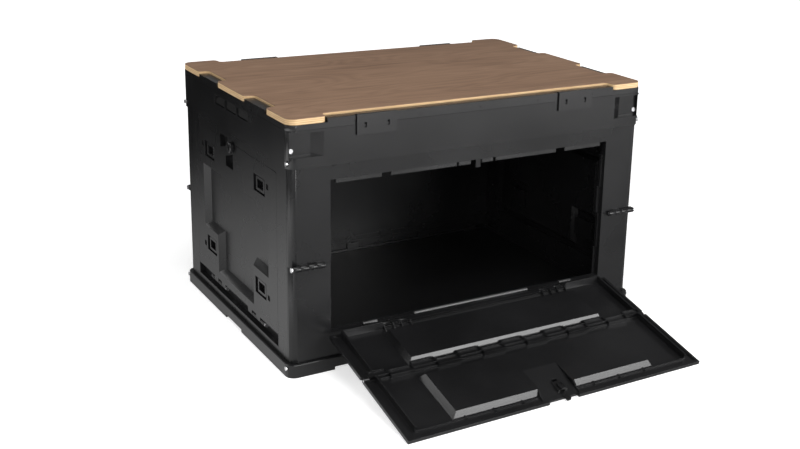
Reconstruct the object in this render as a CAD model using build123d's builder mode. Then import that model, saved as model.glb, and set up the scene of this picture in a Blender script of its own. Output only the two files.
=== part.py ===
from build123d import *
import os
from math import asin, atan, cos, sin

# Folding storage box, 80 litre class, standing open with its front door let down.
# Millimetres. X runs along the long side, the door faces -Y, Z is up.
# The origin is the middle of the base on the ground.

os.makedirs("parts", exist_ok=True)

# Overall sizes
box_length = 600.0
box_depth = 420.0
frame_corner_radius = 12.0
base_flare = 3.4
wall_inset = 2.0
base_height = 19.2
ledge_height = 12.0
floor_height = 6.5
floor_skin = 3.2
foot_relief_height = 4.5
foot_relief_half_x = 233.0
foot_relief_half_y = 32.0
floor_cell_x = 56.0
floor_cell_y = 48.0
floor_rib = 2.4
frame_bottom = 302.5
frame_height = 52.2

# Walls
long_wall_thickness = 11.0
end_wall_thickness = 14.0
wall_corner_radius = 10.0
frame_wall = 3.2
skin = 2.6
fold_height = 161.5
rear_panel_pitch = 112.0
rear_panel_width = 102.0
rear_panel_height = 108.0
rear_panel_radius = 6.0
rear_panel_depth = 3.5
groove_heights = (25.0, 34.0)
groove_depth = 1.4

# Clearances
seat_gap = 0.3
side_gap = 0.5
pin_clearance = 0.05
knuckle_gap = 0.4

# Pins and knuckles
pin_radius = 2.0
knuckle_radius = 4.0
frame_knuckle_radius = 3.4
foot_knuckle_radius = 4.6
pin_head_radius = 3.4
pin_head_height = 1.6
small_head_radius = 3.0
small_head_height = 1.2

# Wall hinges at the fold, in the base and in the top frame
corner_group = (248.5, 297.0)
middle_group = (60.0, 108.5)
group_knuckles = 4
base_pin_height = 13.0
frame_pin_height = 309.5
wall_pin_inset = 5.0
foot_span = (262.0, 290.0)
foot_bore_end = 299.0
frame_foot_end = 287.5
corner_pin_start = 264.0
tongue_half_length = 250.0
tab_width = 24.5
tab_pitch = 147.7

# Door opening in the front wall
opening_half_width = 237.5
sill_height = 57.0
header_height = 281.0
stop_reach = 5.0
stop_thickness = 2.4
stop_drop = 9.0
stop_step = 2.0
stop_step_thickness = 4.9
side_stop_low_step = 104.0
side_stop_high_step = 205.0
side_stop_top = 258.0
header_strips = ((-226, -154), (-140, -31), (-28, -7), (12, 32), (36, 147), (163, 233))
catch_span = (2.0, 10.0)
catch_drop = 15.0

# Front door
door_half_width = 244.0
door_hinge_height = 53.0
door_length = 240.0
door_lip_inner = 4.0
door_lip_outer = 1.0
door_bead = 4.5
door_floor = 1.6
door_near_edge = 5.0
door_near_lip = 3.0
door_fold_lip = 2.6
door_far_lip = 5.0
door_rib_top = 11.5
door_rib_x = 228.0
door_rib_width = 3.0
door_rib_end = 225.5
edge_slope_foot = 12.0
edge_slope_crown = 8.5
edge_slope_back = 7.0
ledge_top = 5.5
ledge_gap = 1.4
far_rib = (224.3, 226.0)
far_ticks = (60.0, 105.0, 150.0)
pan_half_width = 168.0
pan_height = 9.5
pan_run = 6.0
near_pan = (22.0, 101.0)
far_pan = (128.0, 223.0)
hinge_group_inner = 104.0
hinge_group_width = 56.0
hinge_group_knuckles = 4
hinge_end_barrel = 26.0
hinge_rib_width = 1.4
hinge_rib_top = 7.0
hinge_rib_end = 20.0
fold_knuckles = 13
fold_tab_reach = 9.0
fold_tab_overhang = 3.4
fold_tab_top = 8.0
fold_tab_wall = 1.4
fold_tab_depth = 2.6
fold_tab_limit = 234.0

# Ramp and bolt in the middle of the far edge of the door
ramp_x = (-30.0, 27.0)
ramp_wall = 2.4
ramp_start = 175.0
ramp_end = 236.0
ramp_end_level = 2.2
ramp_shoulder = 228.0
edge_cut_x = (-25.0, 24.0)
bolt_x = 5.0
bolt_half_width = 4.0
bolt_strap = 1.7
bolt_start = 203.0
bolt_tail_end = 213.0
bolt_tail_top = 5.0
bolt_block = (214.5, 221.0)
bolt_nose_end = 227.0
bolt_nose_level = 7.6
bolt_nose_top = 10.6
bolt_end = 243.0
bolt_ridge = (238.0, 242.5)
bolt_ridge_level = 0.6
bolt_travel = 5.0
bolt_cheek = 3.0
bolt_cheek_span = (206.0, 226.0)
bolt_cheek_top = 7.5
bolt_bridge_span = (207.0, 213.0)
header_skin = 2.8
header_back = 3.5

# Side doors in the end walls
side_half_width = 163.0
side_bottom = 47.5
side_top = 287.3
side_thickness = 12.0
side_stop = 5.0
side_corner_radius = 3.0
channel_bottom = 29.0
channel_depth = 9.0
side_pin_height = 41.0
side_pin_inset = 3.9
side_knuckle_radius = 3.5
side_group_inner = 47.0
side_group_width = 64.0
field_half_width = 131.0
field_low_half_width = 73.0
field_bottom = 60.0
field_step = 122.0
field_top = 225.0
field_run = 8.0
window_offset = 101.0
window_width = 41.0
window_height = 25.0
window_low = 96.0
window_high = 252.5
window_frame_depth = 11.0
window_seat_depth = 7.0
window_floor = 1.6
ring_width = 30.0
ring_height = 21.0
ring_wall = 4.0
ring_radius = 2.5
ring_thickness = 5.5
square_hole = 8.0
square_hole_offset = 131.0
square_hole_shift = 5.0

# Finger slots and turn latch of a side door
grip_block_y = (-14.0, 56.0)
grip_block_bottom = 243.0
slot_depth = 8.0
upper_slot = ((22.0, 280.0), (52.0, 271.0))
lower_slot_y = (0.0, 30.0)
lower_slot_z = (247.0, 271.0, 262.0)
slot_cut_above = 5.0
knob_height = 283.0
knob_radius = 8.5
knob_reach = 7.0
knob_rim = 4.0
knob_hollow_depth = 3.0
knob_bar = 2.0
knob_shaft_radius = 2.5
latch_tongue_half_width = 3.5
latch_tongue_length = 14.0
latch_tongue_thickness = 2.4

# End wall pivots in the corners of the top frame
pivot_height = 326.0
pivot_inset = 7.0
pivot_barrel_radius = 3.5
pivot_pin_start = 170.0
corner_recess_inner = 246.0
corner_recess_slope = 18.0
corner_recess_bottom = 317.0
corner_recess_top = 351.0
corner_recess_depth = 9.0
corner_block_bottom = 314.0

# Shelf and ribs of the top frame
shelf_x = 288.0
shelf_y = 198.0
shelf_thickness = 3.4
frame_rib_pitch = 62.0
frame_rib = 2.4

# Grip windows in the ends of the top frame
grip_half_width = 68.0
grip_bottom = 336.0
grip_top = 350.5
grip_web = 3.0

# Lid, wood board and clips
lid_height = 7.6
lid_roof = 3.0
lid_rim_drop = 9.0
lid_rib_drop = 3.0
lid_rib = 2.2
lid_rib_pitch_x = 58.0
lid_rib_pitch_y = 62.0
board_gap = 0.2
board_thickness = 8.1
veneer_thickness = 0.8
end_notch_near = 55.0
end_notch_far = 133.0
end_notch_depth = 17.0
long_notch_half_width = 244.0
long_notch_depth = 18.0
notch_radius = 7.0
lug_gap = 1.5
lug_radius = 5.5
lug_height = 5.4
clip_near = 138.0
clip_far = 200.0
clip_thickness = 2.6
clip_bottom = 340.5
clip_barrel_radius = 3.0
clip_pin_radius = 1.2
clip_pin_reach = 5.0
clip_axis_height = 366.2
clip_axis_inset = 2.0
clip_pocket_depth = 5.2
clip_side_gap = 0.6
clip_slot_shares = (0.22, 0.79)
clip_slot_half_width = 1.8
clip_slot_low = 350.5
clip_slot_high = 357.5
clip_nub_reach = 1.6

# Places worked out from the sizes
half_length = box_length / 2
half_depth = box_depth / 2
wall_x = half_length - wall_inset
wall_y = half_depth - wall_inset
inner_y = wall_y - long_wall_thickness
end_half_width = inner_y - side_gap
end_inner_x = wall_x - end_wall_thickness
frame_top = frame_bottom + frame_height
lid_bottom = frame_top + seat_gap
lid_top = lid_bottom + lid_height
board_bottom = lid_top + board_gap
veneer_bottom = board_bottom + board_thickness
bore_radius = pin_radius + pin_clearance
axis_y = wall_y + seat_gap + knuckle_radius
wall_bottom = ledge_height + seat_gap
wall_top = frame_bottom - seat_gap
pivot_x = half_length - pivot_inset
wall_pin_y = wall_y - wall_pin_inset
front_groups = [corner_group, (-corner_group[1], -corner_group[0])]
rear_groups = front_groups + [middle_group, (-middle_group[1], -middle_group[0])]


def spread(side, low, high):
    """A span on one side of the middle, or its mirror image on the other side."""
    return tuple(sorted((side * low, side * high)))


def block(x, y, z, mode=Mode.ADD):
    """A box between a low and a high coordinate on each axis."""
    with BuildSketch(Plane.XY.offset(z[0])) as face:
        with Locations(((x[0] + x[1]) / 2, (y[0] + y[1]) / 2)):
            Rectangle(abs(x[1] - x[0]), abs(y[1] - y[0]))
    extrude(face.sketch, amount=z[1] - z[0], mode=mode)


def rod_x(x, y, z, radius, mode=Mode.ADD):
    """A round bar along X."""
    with BuildSketch(Plane.YZ.offset(x[0])) as face:
        with Locations((y, z)):
            Circle(radius)
    extrude(face.sketch, amount=x[1] - x[0], mode=mode)


def rod_y(y, x, z, radius, mode=Mode.ADD):
    """A round bar along Y."""
    with BuildSketch(Plane.XZ.offset(-y[0])) as face:
        with Locations((x, z)):
            Circle(radius)
    extrude(face.sketch, amount=y[0] - y[1], mode=mode)


def slab(length, depth, radius, z, mode=Mode.ADD):
    """A rounded rectangular plate between two heights."""
    with BuildSketch(Plane.XY.offset(z[0])) as face:
        RectangleRounded(length, depth, radius)
    extrude(face.sketch, amount=z[1] - z[0], mode=mode)


def rim(length, depth, radius, wall, z):
    """A rounded rectangular wall standing between two heights."""
    with BuildSketch(Plane.XY.offset(z[0])) as face:
        RectangleRounded(length, depth, radius)
        RectangleRounded(length - 2 * wall, depth - 2 * wall, radius - wall, mode=Mode.SUBTRACT)
    extrude(face.sketch, amount=z[1] - z[0])


def knuckle(x, y, z, web_end, web_low):
    """A hinge knuckle along X, with the web that joins it to its wall at web_end."""
    with BuildSketch(Plane.YZ.offset(x[0])) as face:
        with Locations((y, z)):
            Circle(knuckle_radius)
        with Locations(((y + web_end) / 2, web_low + knuckle_radius / 2)):
            Rectangle(abs(web_end - y), knuckle_radius)
    extrude(face.sketch, amount=x[1] - x[0])


def knuckle_span(low, high, count, index):
    """The span of one of the equal knuckles of a hinge group."""
    pitch = (high - low) / count
    start = low + index * pitch
    return (start + knuckle_gap / 2, start + pitch - knuckle_gap / 2)


def long_wall_plan(z):
    """A rear wall with its two rounded outer corners, between two heights."""
    with BuildSketch(Plane.XY.offset(z[0])) as face:
        RectangleRounded(2 * wall_x, 2 * wall_y, wall_corner_radius)
        with Locations((0, (inner_y - wall_y) / 2)):
            Rectangle(2 * wall_x + 1, inner_y + wall_y, mode=Mode.SUBTRACT)
    extrude(face.sketch, amount=z[1] - z[0])


def fold_group(low, high, owner):
    """The knuckles of a wall fold hinge: owner 0 is the lower wall, 1 the upper."""
    web_low = fold_height - knuckle_radius if owner == 0 else fold_height
    for index in range(owner, group_knuckles, 2):
        span = knuckle_span(low, high, group_knuckles, index)
        knuckle(span, axis_y, fold_height, wall_y - 1, web_low)
    rod_x((low, high), axis_y, fold_height, bore_radius, mode=Mode.SUBTRACT)


def lower_wall_feet():
    """Tabs and corner knuckles that drop into the base."""
    for centre in (-tab_pitch, 0.0, tab_pitch):
        span = (centre - tab_width / 2, centre + tab_width / 2)
        block(span, (inner_y + 1, wall_y - 1), (floor_height + seat_gap, wall_bottom + 1))
    for side in (-1, 1):
        span = spread(side, *foot_span)
        rod_x(span, wall_pin_y, base_pin_height, foot_knuckle_radius)
        web_y = (wall_pin_y - foot_knuckle_radius, wall_pin_y + foot_knuckle_radius)
        block(span, web_y, (base_pin_height, wall_bottom + 1))
        bore = spread(side, foot_span[0] - 1, foot_bore_end)
        rod_x(bore, wall_pin_y, base_pin_height, bore_radius, mode=Mode.SUBTRACT)


def upper_wall_tongue():
    """The tongue that stands inside the top frame, with its corner knuckles."""
    tongue_y = (inner_y + seat_gap, half_depth - frame_wall - 2 * seat_gap)
    for side in (-1, 1):
        span = spread(side, foot_span[0], frame_foot_end)
        block(span, tongue_y, (wall_top - 1, frame_pin_height))
        rod_x(span, wall_pin_y, frame_pin_height, frame_knuckle_radius)
        rod_x(span, wall_pin_y, frame_pin_height, bore_radius, mode=Mode.SUBTRACT)
    tongue_x = (-tongue_half_length, tongue_half_length)
    block(tongue_x, tongue_y, (wall_top - 1, frame_pin_height + 3))


# Base tray
with BuildPart() as base_tray:
    slab(
        box_length + 2 * base_flare, box_depth + 2 * base_flare,
        frame_corner_radius + base_flare / 2, (0, base_height),
    )
    slab(
        2 * end_inner_x, 2 * (inner_y - 1), wall_corner_radius / 2,
        (floor_height, base_height + 1), Mode.SUBTRACT,
    )
    slab(
        2 * wall_x + 2 * seat_gap, 2 * wall_y + 2 * seat_gap, wall_corner_radius + seat_gap,
        (ledge_height, base_height + 1), Mode.SUBTRACT,
    )
    chamfer(base_tray.faces().sort_by(Axis.Z)[-1].outer_wire().edges(), length=1.0)
    # Underside relief between the corner feet
    relief_z = (-1, foot_relief_height)
    for side in (-1, 1):
        relief_x = (-foot_relief_half_x, foot_relief_half_x)
        edge_y = spread(side, inner_y - 1, half_depth + base_flare + 1)
        block(relief_x, edge_y, relief_z, Mode.SUBTRACT)
        edge_x = spread(side, end_inner_x, half_length + base_flare + 1)
        block(edge_x, (-foot_relief_half_y, foot_relief_half_y), relief_z, Mode.SUBTRACT)
    # Pockets for the feet of the long walls
    for side in (-1, 1):
        for centre in (-tab_pitch, 0.0, tab_pitch):
            span = (centre - tab_width / 2 - seat_gap, centre + tab_width / 2 + seat_gap)
            pocket_y = spread(side, inner_y - 2, wall_y - 1 + seat_gap)
            block(span, pocket_y, (floor_height, base_height + 1), Mode.SUBTRACT)
        for end in (-1, 1):
            span = spread(end, foot_span[0] - 1, foot_span[1] + 1)
            pocket_y = spread(side, inner_y - 2, wall_y + 0.2)
            pocket_bottom = base_pin_height - foot_knuckle_radius - 0.6
            block(span, pocket_y, (pocket_bottom, base_height + 1), Mode.SUBTRACT)
            pin_span = spread(end, foot_span[1], half_length + base_flare + 1)
            rod_x(pin_span, side * wall_pin_y, base_pin_height, bore_radius, Mode.SUBTRACT)
    # Ribs under the floor
    with BuildSketch(Plane.XY) as floor_cells:
        with GridLocations(floor_cell_x, floor_cell_y, 10, 8):
            Rectangle(floor_cell_x - floor_rib, floor_cell_y - floor_rib)
    extrude(floor_cells.sketch, amount=floor_height - floor_skin, mode=Mode.SUBTRACT)
base_tray.part.label = "base_tray"


def rear_panels(centre_height):
    """Five shallow rounded panels in the outer face of a rear wall."""
    with BuildSketch(Plane.XZ.offset(-wall_y)) as panels:
        with Locations((0, centre_height)):
            with GridLocations(rear_panel_pitch, 1, 5, 1):
                RectangleRounded(rear_panel_width, rear_panel_height, rear_panel_radius)
    extrude(panels.sketch, amount=rear_panel_depth, mode=Mode.SUBTRACT)


# Rear wall, lower half
with BuildPart() as rear_wall_lower:
    long_wall_plan((wall_bottom, fold_height - seat_gap / 2))
    for height in groove_heights:
        block(
            (1 - wall_x + wall_corner_radius, wall_x - wall_corner_radius - 1),
            (inner_y - 1, inner_y + groove_depth), (height - 1, height + 1), Mode.SUBTRACT,
        )
    rear_panels((wall_bottom + fold_height) / 2)
    lower_wall_feet()
    for low, high in rear_groups:
        fold_group(low, high, 0)
rear_wall_lower.part.label = "rear_wall_lower"

# Rear wall, upper half
with BuildPart() as rear_wall_upper:
    long_wall_plan((fold_height + seat_gap / 2, wall_top))
    rear_panels((wall_top + fold_height) / 2)
    upper_wall_tongue()
    for low, high in rear_groups:
        fold_group(low, high, 1)
rear_wall_upper.part.label = "rear_wall_upper"

# The front walls are built like the rear ones, turned round, with the door opening cut in
with BuildPart() as front_blank_lower:
    long_wall_plan((wall_bottom, fold_height - seat_gap / 2))
    lower_wall_feet()
    for low, high in front_groups:
        fold_group(low, high, 0)

with BuildPart() as front_blank_upper:
    long_wall_plan((fold_height + seat_gap / 2, wall_top))
    upper_wall_tongue()
    for low, high in front_groups:
        fold_group(low, high, 1)

stop_y = (-inner_y - stop_thickness, -inner_y)
stop_step_y = (-inner_y - stop_step_thickness, -inner_y)
stop_inner = opening_half_width - stop_reach
hinge_group_outer = hinge_group_inner + hinge_group_width


def hinge_span(side, index):
    """The span of one knuckle of a door hinge group, counted from the middle."""
    span = knuckle_span(hinge_group_inner, hinge_group_outer, hinge_group_knuckles, index)
    return spread(side, *span)


# Front wall, lower half
with BuildPart() as front_wall_lower:
    mirror(front_blank_lower.part, about=Plane.XZ)
    block(
        (-opening_half_width, opening_half_width), (-wall_y - 1, -inner_y + 1),
        (sill_height, fold_height + 1), Mode.SUBTRACT,
    )
    for side in (-1, 1):
        # Stop strips along the posts, in steps
        strip_x = spread(side, stop_inner, opening_half_width + 1)
        block(strip_x, stop_y, (sill_height - 1, side_stop_low_step))
        strip_x = spread(side, stop_inner + stop_step, opening_half_width + 1)
        block(strip_x, stop_step_y, (side_stop_low_step, fold_height - seat_gap / 2))
        # Knuckles that carry the door
        for index in (1, 3):
            span = hinge_span(side, index)
            web_low = door_hinge_height - knuckle_radius
            knuckle(span, -axis_y, door_hinge_height, 1 - wall_y, web_low)
            rod_x(span, -axis_y, door_hinge_height, bore_radius, mode=Mode.SUBTRACT)
front_wall_lower.part.label = "front_wall_lower"

# Front wall, upper half
with BuildPart() as front_wall_upper:
    mirror(front_blank_upper.part, about=Plane.XZ)
    block(
        (-opening_half_width, opening_half_width), (-wall_y - 1, -inner_y + 1),
        (fold_height - 1, header_height), Mode.SUBTRACT,
    )
    for side in (-1, 1):
        strip_x = spread(side, stop_inner, opening_half_width + 1)
        block(strip_x, stop_y, (fold_height + seat_gap / 2, side_stop_high_step))
        strip_x = spread(side, stop_inner + stop_step, opening_half_width + 1)
        block(strip_x, stop_step_y, (side_stop_high_step, side_stop_top))
    # Stop strips under the header, and the catch beside the bolt
    for strip_x in header_strips:
        block(strip_x, stop_y, (header_height - stop_drop, header_height + 1))
    block(catch_span, stop_y, (header_height - catch_drop, header_height + 1))
    # Pocket for the nose of the door bolt behind the face of the header
    block(
        (bolt_x - bolt_half_width - 1.5, bolt_x + bolt_half_width + 1.5),
        (-wall_y + header_skin, -inner_y - header_back),
        (header_height - 1, header_height + bolt_travel + 4), Mode.SUBTRACT,
    )
front_wall_upper.part.label = "front_wall_upper"

# Pins of the long walls: at the fold, in the base and in the top frame
with BuildPart() as wall_fold_pins:
    for groups, pin_y in ((front_groups, -axis_y), (rear_groups, axis_y)):
        for low, high in groups:
            rod_x((low, high), pin_y, fold_height, pin_radius)
            head = (high, high + pin_head_height) if high > 0 else (low - pin_head_height, low)
            rod_x(head, pin_y, fold_height, pin_head_radius)
wall_fold_pins.part.label = "wall_fold_pins"


def corner_pins(height, face_x):
    """Four headed pins along X through the ends, in line with the long walls."""
    for end in (-1, 1):
        for side in (-1, 1):
            shaft = spread(end, corner_pin_start, face_x)
            rod_x(shaft, side * wall_pin_y, height, pin_radius)
            head = spread(end, face_x, face_x + small_head_height)
            rod_x(head, side * wall_pin_y, height, small_head_radius)


with BuildPart() as base_hinge_pins:
    corner_pins(base_pin_height, half_length + base_flare)
base_hinge_pins.part.label = "base_hinge_pins"

with BuildPart() as frame_hinge_pins:
    corner_pins(frame_pin_height, half_length)
frame_hinge_pins.part.label = "frame_hinge_pins"


def clip_slot_places(end):
    """Where the two slots of a clip stand along X."""
    return [end * (clip_near + share * (clip_far - clip_near)) for share in clip_slot_shares]


# Top frame
with BuildPart() as top_frame:
    rim(box_length, box_depth, frame_corner_radius, frame_wall, (frame_bottom, frame_top))
    # Shelf that carries the lid
    with BuildSketch(Plane.XY.offset(frame_top - shelf_thickness)) as shelf:
        RectangleRounded(box_length - 2, box_depth - 2, frame_corner_radius - 1)
        RectangleRounded(2 * shelf_x, 2 * shelf_y, frame_corner_radius - 4, mode=Mode.SUBTRACT)
    extrude(shelf.sketch, amount=shelf_thickness)
    # Stiffening ribs inside the long sides, and corner blocks
    with BuildSketch(Plane.XY.offset(corner_block_bottom)) as stiffening:
        for side in (-1, 1):
            with Locations((0, side * (inner_y + half_depth) / 2)):
                with GridLocations(frame_rib_pitch, 1, 7, 1):
                    Rectangle(frame_rib, half_depth - inner_y - 2)
            for end in (-1, 1):
                block_x = (corner_recess_inner + half_length) / 2 - 4
                block_y = (inner_y + half_depth - 1) / 2
                with Locations((end * block_x, side * block_y)):
                    Rectangle(half_length - corner_recess_inner, half_depth - 1 - inner_y)
    extrude(stiffening.sketch, amount=frame_top - 1 - corner_block_bottom)
    # Recesses in the corners, with one sloping wall each
    for end in (-1, 1):
        for side in (-1, 1):
            floor_y = side * (half_depth - corner_recess_depth)
            recess_end = end * (half_length - frame_wall)
            with BuildSketch(Plane.XY.offset(corner_recess_bottom)) as recess:
                with BuildLine():
                    Polyline(
                        (end * corner_recess_inner, side * (half_depth + 1)),
                        (end * (corner_recess_inner + corner_recess_slope), floor_y),
                        (recess_end, floor_y),
                        (recess_end, side * (half_depth + 1)),
                        close=True,
                    )
                make_face()
            extrude(
                recess.sketch, amount=corner_recess_top - corner_recess_bottom,
                mode=Mode.SUBTRACT,
            )
            pivot_span = spread(side, inner_y - 1, half_depth)
            rod_y(pivot_span, end * pivot_x, pivot_height, bore_radius, Mode.SUBTRACT)
            pin_span = spread(end, foot_span[1], half_length + 1)
            rod_x(pin_span, side * wall_pin_y, frame_pin_height, bore_radius, Mode.SUBTRACT)
    # Nubs that stand in the slots of the clips
    nub_half_width = clip_slot_half_width - seat_gap
    for end in (-1, 1):
        for side in (-1, 1):
            for centre in clip_slot_places(end):
                nub_y = spread(side, half_depth - 1, half_depth + clip_nub_reach)
                nub_z = (clip_slot_low + 1, frame_top - seat_gap)
                block((centre - nub_half_width, centre + nub_half_width), nub_y, nub_z)
    # Grip windows in both ends
    window = (2 * grip_half_width - 2 * grip_web) / 3
    with BuildSketch(Plane.YZ.offset(-half_length - 1)) as grips:
        with Locations((0, (grip_bottom + grip_top) / 2)):
            with GridLocations(window + grip_web, 1, 3, 1):
                RectangleRounded(window, grip_top - grip_bottom, 2)
    extrude(grips.sketch, amount=box_length + 2, mode=Mode.SUBTRACT)
top_frame.part.label = "top_frame"

# Pivot pins of the end walls
with BuildPart() as end_pivot_pins:
    recess_floor_y = half_depth - corner_recess_depth
    for end in (-1, 1):
        for side in (-1, 1):
            shaft = spread(side, pivot_pin_start, recess_floor_y)
            rod_y(shaft, end * pivot_x, pivot_height, pin_radius)
            head = spread(side, recess_floor_y, recess_floor_y + pin_head_height)
            rod_y(head, end * pivot_x, pivot_height, pin_head_radius)
end_pivot_pins.part.label = "end_pivot_pins"

# Left end wall: a frame round the side door, hung from its pivots
side_outer_x = -wall_x
side_inner_x = side_outer_x + side_thickness
side_axis_x = side_outer_x + side_pin_inset
side_group_outer = side_group_inner + side_group_width


def side_span(side, index):
    """The span along Y of one knuckle of a side door hinge group."""
    return spread(side, *knuckle_span(side_group_inner, side_group_outer, group_knuckles, index))


with BuildPart() as left_end_wall:
    end_y = (-end_half_width, end_half_width)
    block((side_outer_x, -end_inner_x), end_y, (wall_bottom, wall_top))
    tongue_x = (-half_length + frame_wall + side_gap, -end_inner_x)
    block(tongue_x, end_y, (wall_top - 1, pivot_height))
    rod_y(end_y, -pivot_x, pivot_height, pivot_barrel_radius)
    bore_y = (-end_half_width - 1, end_half_width + 1)
    rod_y(bore_y, -pivot_x, pivot_height, bore_radius, Mode.SUBTRACT)
    # Side door opening with its stop lip
    edge_y = side_half_width + seat_gap
    block(
        (side_outer_x - 1, side_inner_x + seat_gap), (-edge_y, edge_y),
        (side_bottom, side_top + side_gap), Mode.SUBTRACT,
    )
    lip_y = side_half_width - side_stop
    block(
        (side_outer_x - 1, -end_inner_x + 1), (-lip_y, lip_y),
        (side_bottom + side_stop, side_top - side_stop), Mode.SUBTRACT,
    )
    # Hinge channel below the door
    block(
        (side_outer_x - 1, side_outer_x + channel_depth), (-edge_y, edge_y),
        (channel_bottom, side_bottom + 1), Mode.SUBTRACT,
    )
    for side in (-1, 1):
        for index in (1, 3):
            span = side_span(side, index)
            rod_y(span, side_axis_x, side_pin_height, side_knuckle_radius)
            block(
                (side_axis_x, side_outer_x + channel_depth + 1), span,
                (side_pin_height - side_knuckle_radius, side_pin_height),
            )
            rod_y(span, side_axis_x, side_pin_height, bore_radius, Mode.SUBTRACT)
    # Gap in the stop lip for the tongue of the latch, and the top of the finger slot
    tongue_room = latch_tongue_length + 3
    block(
        (side_inner_x, -end_inner_x + 1), (-tongue_room, tongue_room),
        (side_top - side_stop - 1, side_top + side_gap), Mode.SUBTRACT,
    )
    block(
        (side_outer_x - 1, side_outer_x + slot_depth), (upper_slot[0][0], upper_slot[1][0]),
        (side_top - 1, side_top + slot_cut_above), Mode.SUBTRACT,
    )
left_end_wall.part.label = "left_end_wall"


def field_outline(grow):
    """The outline of the sunk field, stepped round the two lower windows."""
    wide = field_half_width + grow
    narrow = field_low_half_width + grow
    low = field_bottom - grow
    step = field_step - grow
    high = field_top + grow
    with BuildLine() as outline:
        Polyline(
            (-narrow, low), (narrow, low), (narrow, step), (wide, step), (wide, high),
            (-wide, high), (-wide, step), (-narrow, step), close=True,
        )
    make_face(outline.edges())


def side_cut(outline, depth):
    """Cut a polygon of Y and Z into the outer face of the left side door."""
    with BuildSketch(Plane.YZ.offset(side_outer_x - 1)) as face:
        with BuildLine():
            Polyline(*outline, close=True)
        make_face()
    extrude(face.sketch, amount=depth + 1, mode=Mode.SUBTRACT)


# Left side door
with BuildPart() as left_side_door:
    # Skin and the rim that stiffens it
    door_centre_z = (side_bottom + seat_gap + side_top) / 2
    door_height = side_top - side_bottom - seat_gap
    with BuildSketch(Plane.YZ.offset(side_outer_x)) as door_face:
        with Locations((0, door_centre_z)):
            RectangleRounded(2 * side_half_width, door_height, side_corner_radius)
    extrude(door_face.sketch, amount=skin)
    with BuildSketch(Plane.YZ.offset(side_outer_x)) as door_rim:
        with Locations((0, door_centre_z)):
            RectangleRounded(2 * side_half_width, door_height, side_corner_radius)
            Rectangle(
                2 * side_half_width - 2 * skin, door_height - 2 * skin, mode=Mode.SUBTRACT
            )
    extrude(door_rim.sketch, amount=side_thickness)
    # Sunk field, a thin tray that bulges into the box
    with BuildSketch(Plane.YZ.offset(side_outer_x)) as tray_mouth:
        field_outline(skin)
    with BuildSketch(Plane.YZ.offset(side_inner_x)) as tray_back:
        field_outline(skin - field_run)
    loft([tray_mouth.sketch, tray_back.sketch], ruled=True)
    with BuildSketch(Plane.YZ.offset(side_outer_x - 0.01)) as field_mouth:
        field_outline(0)
    with BuildSketch(Plane.YZ.offset(side_inner_x - skin)) as field_back:
        field_outline(-field_run)
    loft([field_mouth.sketch, field_back.sketch], ruled=True, mode=Mode.SUBTRACT)
    # Window frames with their stepped recesses, and a square hole beside each
    recess_steps = [
        (window_width, window_height, window_seat_depth),
        (
            ring_width - 2 * ring_wall, ring_height - 2 * ring_wall,
            window_frame_depth - window_floor,
        ),
    ]
    for side in (-1, 1):
        for height in (window_low, window_high):
            with BuildSketch(Plane.YZ.offset(side_outer_x)) as window_frame:
                with Locations((side * window_offset, height)):
                    Rectangle(window_width + 2 * skin, window_height + 2 * skin)
            extrude(window_frame.sketch, amount=window_frame_depth)
            for width, tall, depth in recess_steps:
                with BuildSketch(Plane.YZ.offset(side_outer_x - 1)) as recess_step:
                    with Locations((side * window_offset, height)):
                        Rectangle(width, tall)
                extrude(recess_step.sketch, amount=depth + 1, mode=Mode.SUBTRACT)
            shift = square_hole_shift if height > field_step else -square_hole_shift
            with BuildSketch(Plane.YZ.offset(side_outer_x - 1)) as hole:
                with Locations((side * square_hole_offset, height + shift)):
                    Rectangle(square_hole, square_hole)
            extrude(hole.sketch, amount=window_floor + 1, mode=Mode.SUBTRACT)
    # Finger slots on both sides of a slanting bridge, and the bore of the latch
    block(
        (side_outer_x, side_inner_x), grip_block_y, (grip_block_bottom, side_top - side_gap)
    )
    (slot_low_y, slot_low_z), (slot_high_y, slot_high_z) = upper_slot
    side_cut(
        [
            (slot_low_y, side_top + 1), (slot_high_y, side_top + 1),
            (slot_high_y, slot_high_z), (slot_low_y, slot_low_z),
        ],
        slot_depth,
    )
    side_cut(
        [
            (lower_slot_y[0], lower_slot_z[0]), (lower_slot_y[1], lower_slot_z[0]),
            (lower_slot_y[1], lower_slot_z[2]), (lower_slot_y[0], lower_slot_z[1]),
        ],
        slot_depth,
    )
    with BuildSketch(Plane.YZ.offset(side_outer_x - 1)) as latch_bore:
        with Locations((0, knob_height)):
            Circle(knob_shaft_radius + pin_clearance)
    extrude(latch_bore.sketch, amount=side_thickness + 2, mode=Mode.SUBTRACT)
    # Knuckles
    for side in (-1, 1):
        for index in (0, 2):
            span = side_span(side, index)
            rod_y(span, side_axis_x, side_pin_height, side_knuckle_radius)
            block(
                (side_axis_x - side_knuckle_radius, side_axis_x + side_knuckle_radius), span,
                (side_pin_height, side_bottom + 2),
            )
            rod_y(span, side_axis_x, side_pin_height, bore_radius, Mode.SUBTRACT)
left_side_door.part.label = "left_side_door"

with BuildPart() as left_door_pins:
    for side in (-1, 1):
        span = spread(side, side_group_inner, side_group_outer)
        rod_y(span, side_axis_x, side_pin_height, pin_radius)
        rod_y((span[0] - pin_head_height, span[0]), side_axis_x, side_pin_height, pin_head_radius)
left_door_pins.part.label = "left_door_pins"

# Rings seated in the four windows
with BuildPart() as left_window_rings:
    with BuildSketch(Plane.YZ.offset(side_outer_x + window_seat_depth)) as ring_faces:
        with Locations((0, (window_low + window_high) / 2)):
            with GridLocations(2 * window_offset, window_high - window_low, 2, 2):
                RectangleRounded(ring_width, ring_height, ring_radius)
                Rectangle(
                    ring_width - 2 * ring_wall, ring_height - 2 * ring_wall, mode=Mode.SUBTRACT
                )
    extrude(ring_faces.sketch, amount=-ring_thickness)
left_window_rings.part.label = "left_window_rings"

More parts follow.
